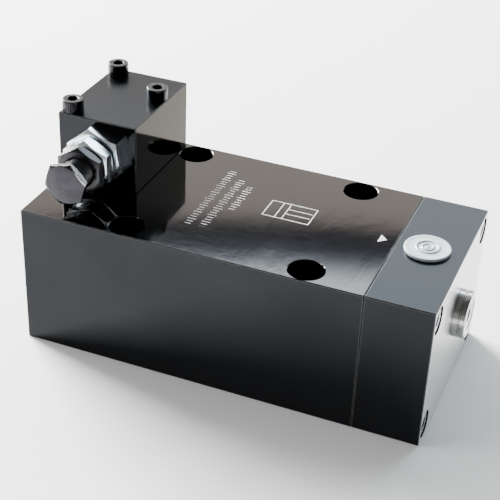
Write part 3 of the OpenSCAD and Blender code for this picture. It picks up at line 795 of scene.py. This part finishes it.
# %% Valve block screws
M5_HEAD_R, M5_HEAD_H = 4.25, 5.0
block_screw_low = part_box("valve_block_screws")[0]
shank_m5 = (valve_high.z - block_screw_low.z) / MM
m5 = socket_screw("m5_screw", M5_HEAD_R, M5_HEAD_H, 4.0, 2.8, 2.46, shank_m5, 0.14, 30)
M5_OFFSETS = ((4.4, 4.4), (4.4, 43.5), (29.6, 28.8))
block_screw_places = [
    (valve_low.x + dx * MM, valve_low.y + dy * MM, valve_high.z) for dx, dy in M5_OFFSETS]
oiled_black = steel("oiled_black_screws", (0.021, 0.021, 0.023), 0.24, spread=0.06,
                    lines="turned", bump=0.05)
fit_screws("block_head_screws", m5, block_screw_places, (0, 0, 0), 9,
           oiled_black, "black_oxide", "valve_block_screws")

# %% [markdown]
# ## A thread that is a true helix
# A real thread climbs one pitch a turn, and it has to, because this screw winds in and out.
# A spiral curve with a swept triangle would leave gaps between the turns. A fine cylinder
# whose points are pushed inwards by a saw wave of height and angle is closed and even, and
# Geometry Nodes can do that with a few sums.

# %% The tree that cuts a thread
def thread_tree():
    tree, given = start_tree("threaded_rod", "Rod", Radius="Float", Length="Float",
                             Pitch="Float", Depth="Float", Runout="Float", Steps="Int")
    rod = fill(add(tree, "GeometryNodeMeshCylinder", fill_type="NGON"), Vertices=72,
               Side_Segments=given["Steps"], Radius=given["Radius"], Depth=given["Length"])
    place = tree.nodes.new("GeometryNodeInputPosition").outputs[0]
    x, y, z = split(tree, place)
    angle = calc(tree, "DIVIDE", calc(tree, "ARCTAN2", y, x), 2 * math.pi)
    phase = calc(tree, "FRACT", calc(
        tree, "SUBTRACT", calc(tree, "DIVIDE", z, given["Pitch"]), angle))
    flank = calc(tree, "ABSOLUTE", calc(tree, "SUBTRACT", phase, 0.5))
    groove = remap(tree, flank, 0.06, 0.42, 1, 0)
    half = calc(tree, "MULTIPLY", given["Length"], 0.5)
    from_end = calc(tree, "SUBTRACT", half, calc(tree, "ABSOLUTE", z))
    fade_in = remap(tree, from_end, 0, given["Runout"], 0, 1, smooth=True)
    chamfer = calc(tree, "MULTIPLY", calc(tree, "SUBTRACT", 1.0, fade_in), 0.8)
    cut = calc(tree, "MAXIMUM", calc(tree, "MULTIPLY", groove, fade_in), chamfer)
    inwards = calc(tree, "MULTIPLY", cut, given["Depth"])
    outwards = vector_calc(tree, "NORMALIZE", vector_calc(tree, "MULTIPLY", place, (1, 1, 0)))
    push = add(tree, "ShaderNodeVectorMath", operation="SCALE")
    put(push.inputs[0], outwards)
    put(push.inputs["Scale"], calc(tree, "MULTIPLY", inwards, -1.0))
    shaped = fill(add(tree, "GeometryNodeSetPosition"), Geometry=rod.outputs["Mesh"],
                  Offset=push.outputs["Vector"])
    return end_tree(tree, shaped.outputs[0], given["Finish"])


threaded_rod = thread_tree()
print("tree", threaded_rod.name)

# %% The adjusting screw's thread
SHANK_R = 6.0
HEAD_L = 2.6
PITCH = 1.0
shank_from = screw_low.y + (HEAD_L - 0.3) * MM
shank_to = screw_high.y
shank_length = shank_to - shank_from
thread = grow("adjusting_thread", threaded_rod, points_mesh("thread_carrier", [(0, 0, 0)]),
              Radius=SHANK_R * MM, Length=shank_length, Pitch=PITCH * MM, Depth=0.55 * MM,
              Runout=1.2 * MM, Steps=int(shank_length / MM * 10),
              Finish=finishes["black_oxide"]["material"])
middle_y = (shank_from + shank_to) / 2
settle(thread, Matrix.Translation((VALVE_AXIS_X, middle_y, VALVE_AXIS_Z)) @ TOWARDS_FRONT)
shade(thread, 50)
dress(thread, finishes["black_oxide"], "adjusting_screw", "black_oxide")

# %% [markdown]
# ## Hexagons with a turned chamfer
# A nut is a hexagon whose corners were turned off on a lathe, which leaves a curved edge on
# every flat. Here the smaller of two radii is taken at every angle: that of the hexagon and
# that of the cone. Many thin rings in the chamfer give the curve, and the same rule serves
# the screw's head and the two nuts.

# %% Nuts and head
def chamfered_hexagon(name, across_flats, length, bore, cone=0.55, turn=0.0):
    """A hexagon from 0 to length, both faces chamfered; a bore of 0 makes it solid."""
    across_corners = across_flats / math.sqrt(3)
    face_r = across_flats / 2 * 0.96
    drop = (across_corners - face_r) * cone
    steps = 7
    rule = hexagon(across_flats)
    rings = []
    for k in range(steps + 1):
        part = k / steps
        cone_r = face_r + (across_corners - face_r) * part
        rings.append((drop * part, smaller(rule, circle(cone_r))))
    rings += [(length - height, radius) for height, radius in reversed(rings)]
    if bore:
        lead = 0.55
        rings = [(lead, circle(bore)), (0, circle(bore + lead))] + rings
        rings += [(length, circle(bore + lead)), (length - lead, circle(bore))]
    piece = stack_rings(name, rings, around=144, tube=bool(bore))
    piece.data.transform(Matrix.Rotation(math.radians(-turn), 4, "Z"))
    return shade(piece, 30)


def on_valve_axis(piece, front_y):
    """Lays a piece made along +Z on the valve's axis, from front_y backwards."""
    return settle(piece, Matrix.Translation((VALVE_AXIS_X, front_y, VALVE_AXIS_Z)) @ BACKWARDS)


head = chamfered_hexagon("adjusting_head", 16, HEAD_L, 0, cone=0.5, turn=13.7)
on_valve_axis(head, screw_low.y)
dress(head, head_black_with_painted_highlight, "adjusting_screw", "black_oxide")
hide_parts("adjusting_screw")
for name, node, finish, turn, flats in (
        ("stop_nut_hexagon", "stop_nut", "black_oxide", 32.8, 18),
        ("lock_nut_hexagon", "lock_nut", "zinc_plate", 32.9, 19)):
    low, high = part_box(node)
    nut = chamfered_hexagon(name, flats, (high.y - low.y) / MM, SHANK_R + 0.04, turn=turn)
    on_valve_axis(nut, low.y)
    body = "lock_nut" if node == "lock_nut" else "adjusting_screw"
    dress(nut, finishes[finish], body, finish, node)

# %% [markdown]
# ## Transit plug
# The outlet on the cap is closed for transport with a pushed-in plastic plug. Its disc is
# moulded with a raised outer ring, a lower land and a ring round the gate in the middle. A
# stack of rings follows that section, with rounded edges, since moulded plastic has no sharp
# ones.

# %% Plug profile
plug_low, plug_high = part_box("transit_plug")
PLUG_TOP, PLUG_R = 1.7, 9.0
DISC_LOW, DISC_TOP, ROUNDED = 0.05, 1.42, 0.35
plug_rings = turned(((-10.5, 4.8), (-10.3, 5.0), (-8.0, 5.84), (-0.85, 5.84), (DISC_LOW, 6.74)))
plug_rings += arc(DISC_LOW + ROUNDED, PLUG_R - ROUNDED, ROUNDED, 180, 90, 4)
plug_rings += arc(DISC_TOP - ROUNDED, PLUG_R - ROUNDED, ROUNDED, 90, 0, 5)
plug_rings += turned(((DISC_TOP, 7.9), (1.33, 7.6), (1.27, 7.2), (1.27, 4.9), (1.32, 4.7)))
plug_rings += arc(1.44, 4.3, 0.25, 60, -60, 5)
plug_rings += turned((
    (1.30, 3.9), (1.22, 3.7), (1.18, 2.7), (1.28, 2.5), (1.60, 2.3), (PLUG_TOP, 2.1),
    (1.66, 1.85), (1.36, 1.65), (1.30, 1.0), (1.50, 0.8), (1.58, 0.3)))
transit_plug = shade(stack_rings("moulded_transit_plug", plug_rings), 50)
settle(transit_plug, Matrix.Translation(
    ((plug_low.x + plug_high.x) / 2, (plug_low.y + plug_high.y) / 2, BODY_TOP)))
dress(transit_plug, finishes["natural_polyethylene"], "transit_plug", "natural_polyethylene",
      "transit_plug")

# %% [markdown]
# ## End plug
# The check valve behind the cap is closed with a turned stainless plug. Its collar has a
# groove, a chamfered rim and a hexagon socket for the fitter's key. The socket's mouth starts
# as a circle and becomes a hexagon one ring later, so no boolean is needed.

# %% Plug with a hexagon socket
end_low, end_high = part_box("end_plug")
collar_r = (end_high.y - end_low.y) / 2 / MM
out = (end_high.x - cap_high.x) / MM
depth = (end_low.x - cap_high.x) / MM
SOCKET = 6.0
end_rings = turned((
    (depth + 4, 3.2), (depth, 3.2), (depth, 5.05), (depth + 0.8, 5.85), (0.02, 5.85),
    (0.02, 7.2), (1.1, 7.2), (1.1, 8.6), (0.02, 8.6), (0.02, collar_r - 0.2), (0.2, collar_r),
    (2.25, collar_r), (2.5, collar_r - 0.3), (2.8, collar_r - 0.3), (3.05, collar_r)))
end_rings += arc(out - 0.6, collar_r - 0.6, 0.6, 90, 0, 5)
end_rings += turned(((out, 6.3), (out - 0.25, 6.1), (out - 0.25, 4.3)))
end_rings += [(out - 0.7, hexagon(SOCKET)), (out - 4.5, hexagon(SOCKET)),
              (out - 5.2, circle(0.6))]
end_plug = shade(stack_rings("turned_end_plug", end_rings), 30)
settle(end_plug, Matrix.Translation(
    (cap_high.x, (end_low.y + end_high.y) / 2, (end_low.z + end_high.z) / 2))
    @ ALONG_X @ Matrix.Rotation(math.radians(12), 4, "Z"))
dress(end_plug, finishes["stainless_steel"], "block", "stainless_steel", "end_plug")

# %% [markdown]
# ## Wound springs
# Two springs work inside: a stiff one behind the sequence poppet and a light one behind the
# check ball. The CAD sweeps an eight-sided section. Here a spiral curve is swept with a round
# wire, its first and last coils lie flat, and the ends are ground square. A node tree does
# it once, and each spring only gives its own sizes.

# %% The tree that winds a spring
def spring_tree():
    """Open End is 0 for a spring ground at both ends, 1 for one that ends in a bare wire."""
    tree, given = start_tree("wound_spring", "Spring", Coil_Radius="Float", Wire_Radius="Float",
                             Length="Float", Turns="Float", Open_End="Float")
    spiral = fill(add(tree, "GeometryNodeCurveSpiral"), Resolution=40,
                  Rotations=given["Turns"], Start_Radius=given["Coil Radius"],
                  End_Radius=given["Coil Radius"], Height=given["Length"])
    x, y, z = split(tree, tree.nodes.new("GeometryNodeInputPosition").outputs[0])
    share = calc(tree, "DIVIDE", z, given["Length"])
    flat = calc(tree, "DIVIDE", 0.85, given["Turns"])
    wire = given["Wire Radius"]
    lower = calc(tree, "MULTIPLY", wire, 0.55)
    closed = calc(tree, "SUBTRACT", 1.0, given["Open End"])
    upper = calc(tree, "SUBTRACT", given["Length"], calc(tree, "MULTIPLY", lower, closed))
    last = calc(tree, "SUBTRACT", 1.0, calc(tree, "MULTIPLY", flat, closed))
    height = remap(tree, share, flat, last, lower, upper)
    wound = fill(add(tree, "GeometryNodeSetPosition"), Geometry=spiral.outputs["Curve"],
                 Position=join(tree, x, y, height))
    section = fill(add(tree, "GeometryNodeCurvePrimitiveCircle", mode="RADIUS"),
                   Resolution=14, Radius=wire)
    swept = fill(add(tree, "GeometryNodeCurveToMesh"), Curve=wound.outputs[0],
                 Profile_Curve=section.outputs[0], Fill_Caps=True)
    x, y, z = split(tree, tree.nodes.new("GeometryNodeInputPosition").outputs[0])
    top = calc(tree, "MULTIPLY_ADD", given["Open End"], calc(tree, "MULTIPLY", wire, 1.2),
               given["Length"])
    level = calc(tree, "MINIMUM", calc(tree, "MAXIMUM", z, 0.0), top)
    flattened = fill(add(tree, "GeometryNodeSetPosition"), Geometry=swept.outputs[0],
                     Position=join(tree, x, y, level))
    return end_tree(tree, flattened.outputs[0], given["Finish"])


wound_spring = spring_tree()
print("tree", wound_spring.name)

# %% [markdown]
# ### How the springs are laid
# In the valve the check spring is fixed behind and pushed in front, so it flattens with the
# ball's lift, and the sequence spring is moved at both ends, by the poppet and by the spring
# plate. Here the check spring is laid in the block and belongs to its body. The sequence spring
# is wound as two halves that meet head-on in the middle, where the wire stands still, each wound
# from its own end, and neither half belongs to a body.


def wind(name, coil_r, wire, length, turns, open_end, lay, start):
    """One spring or half a spring from start, wire in mm and the rest in metres."""
    spring = grow(name, wound_spring, points_mesh(name + "_start", [(0, 0, 0)]),
                  Coil_Radius=coil_r, Wire_Radius=wire * MM, Length=length, Turns=turns,
                  Open_End=open_end, Finish=finishes["spring_steel"]["material"])
    settle(spring, Matrix.Translation(start) @ lay)
    return shade(spring, 50)


low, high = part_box("check_spring")
CHECK_WIRE, CHECK_TURNS = 0.3, 7.0
centre = (low + high) / 2
check_spring = wind("check_valve_spring", (high.z - low.z) / 2 - CHECK_WIRE * MM, CHECK_WIRE,
                    high.x - low.x, CHECK_TURNS, 0.0, ALONG_X, (low.x, centre.y, centre.z))
dress(check_spring, finishes["spring_steel"], "block", "spring_steel", "check_spring")
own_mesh(check_spring)

low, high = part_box("sequence_spring")
SEQUENCE_WIRE, SEQUENCE_TURNS = 0.75, 6.0
centre = (low + high) / 2
for name, end_y, lay, mover in (("sequence_spring_plate_half", low.y, BACKWARDS, "spring_plate"),
                                ("sequence_spring_poppet_half", high.y, TOWARDS_FRONT, "poppet")):
    start = (centre.x, end_y, centre.z)
    half = wind(name, (high.z - low.z) / 2 - SEQUENCE_WIRE * MM, SEQUENCE_WIRE,
                (high.y - low.y) / 2, SEQUENCE_TURNS / 2, 1.0, lay, start)
    replaced = ["sequence_spring"] if mover == "spring_plate" else []
    dress(half, finishes["spring_steel"], None, "spring_steel", *replaced)
    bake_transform(half)
print("sequence spring: two halves of", SEQUENCE_TURNS / 2, "turns")

# %% [markdown]
# ## Floor, lights and surroundings
# A mirror-like black block is only as good as what it reflects. The floor is pale and wide, so
# the block's sides pick it up. One large area light stands low behind on the left: its soft
# shadow falls to the front right, and the front face, which reflects that floor, darkens
# towards it. Everything else is painted on the sky. The tops look at its far left side: a warm
# grey wall, a dark gap above it, then a bright panel that lights the whole scene. The far right
# is cooler, and the near side is a plain dim room.

# %% Floor
def stage_plane(name, corners, colour, roughness):
    data = bpy.data.meshes.new(name)
    data.from_pydata([Vector(c) for c in corners], [], [(0, 1, 2, 3)])
    plane = bpy.data.objects.new(name, data)
    bpy.context.scene.collection.objects.link(plane)
    material = bpy.data.materials.new(name)
    material.use_nodes = True
    fill(material.node_tree.nodes["Principled BSDF"], Base_Color=colour,
         Roughness=roughness, Specular_IOR_Level=0.1)
    data.materials.append(material)
    return plane


FLOOR_REACH = 6.0
floor = stage_plane("floor", [(-FLOOR_REACH, -FLOOR_REACH, 0), (FLOOR_REACH, -FLOOR_REACH, 0),
                              (FLOOR_REACH, FLOOR_REACH, 0), (-FLOOR_REACH, FLOOR_REACH, 0)],
                    (0.94, 0.94, 0.94, 1), 0.7)
print("floor", floor.dimensions[:])

# %% Key light
KEY_PLACE, KEY_SIZE, KEY_POWER = Vector((-1.55, 0.83, 0.74)), 1.1, 340
key = bpy.data.lights.new("key_panel", "AREA")
key.shape, key.size, key.size_y = "RECTANGLE", KEY_SIZE, KEY_SIZE
key.energy, key.color = KEY_POWER, (1.0, 0.99, 0.97)
lamp = bpy.data.objects.new("key_panel", key)
bpy.context.scene.collection.objects.link(lamp)
lamp.location = KEY_PLACE
lamp.rotation_mode = "QUATERNION"
lamp.rotation_quaternion = (-KEY_PLACE).to_track_quat("-Z", "Y")
print("key light", round(KEY_PLACE.length, 2), "m away")

# %% Sky
world = bpy.data.worlds.new("studio_world")
bpy.context.scene.world = world
world.use_nodes = True
sky = world.node_tree
SKY_STRENGTH = 19.0
# height of the direction (its sine), then the brightness seen there in red, green and blue
WALL_AND_PANEL = (
    (0.00, (1.5, 1.4, 1.3)), (0.39, (1.7, 1.55, 1.4)), (0.45, (3.6, 3.2, 2.9)),
    (0.50, (4.5, 3.95, 3.5)), (0.506, (3.7, 3.2, 2.85)), (0.512, (0.30, 0.30, 0.37)),
    (0.527, (0.36, 0.42, 0.52)), (0.536, (3.3, 3.7, 4.0)), (0.546, (17.5, 18.3, 18.6)),
    (0.575, (16.5, 17.2, 17.4)), (0.61, (4.0, 4.1, 4.2)), (0.80, (0.9, 0.9, 0.9)),
    (1.00, (0.5, 0.5, 0.5)))
ramp = add(sky, "ShaderNodeValToRGB")
direction = split(sky, add(sky, "ShaderNodeTexCoord").outputs["Generated"])
put(ramp.inputs["Fac"], direction["Z"])
for k, (height, colour) in enumerate(WALL_AND_PANEL):
    stop = ramp.color_ramp.elements[k] if k < 2 else ramp.color_ramp.elements.new(height)
    stop.position = height
    stop.color = tuple(c / SKY_STRENGTH for c in colour) + (1,)

# %% The far side's cool right part, and the plain near side
BEHIND_X, BEHIND_Y = -0.77, 0.64
COOL = (1.35, 1.65, 1.85)
ROOM_LOW, ROOM_HIGH = 0.55, 0.14
left_share = calc(sky, "MULTIPLY", direction["X"], BEHIND_X)
behind = remap(sky, calc(sky, "MULTIPLY_ADD", direction["Y"], BEHIND_Y, left_share),
               0.02, 0.26, 0, 1, smooth=True)
room = remap(sky, direction["Z"], 0.30, 0.55, ROOM_LOW / SKY_STRENGTH, ROOM_HIGH / SKY_STRENGTH)
cool_side = remap(sky, direction["X"], 0.0, 0.25, 0, 1, smooth=True)
tinted = vector_calc(sky, "MULTIPLY", ramp.outputs["Color"], COOL)
far_side = mix_colour(sky, cool_side, ramp.outputs["Color"], tinted)
fill(sky.nodes["Background"], Color=mix_colour(sky, behind, room, far_side),
     Strength=SKY_STRENGTH)
print("sky steps:", len(WALL_AND_PANEL))
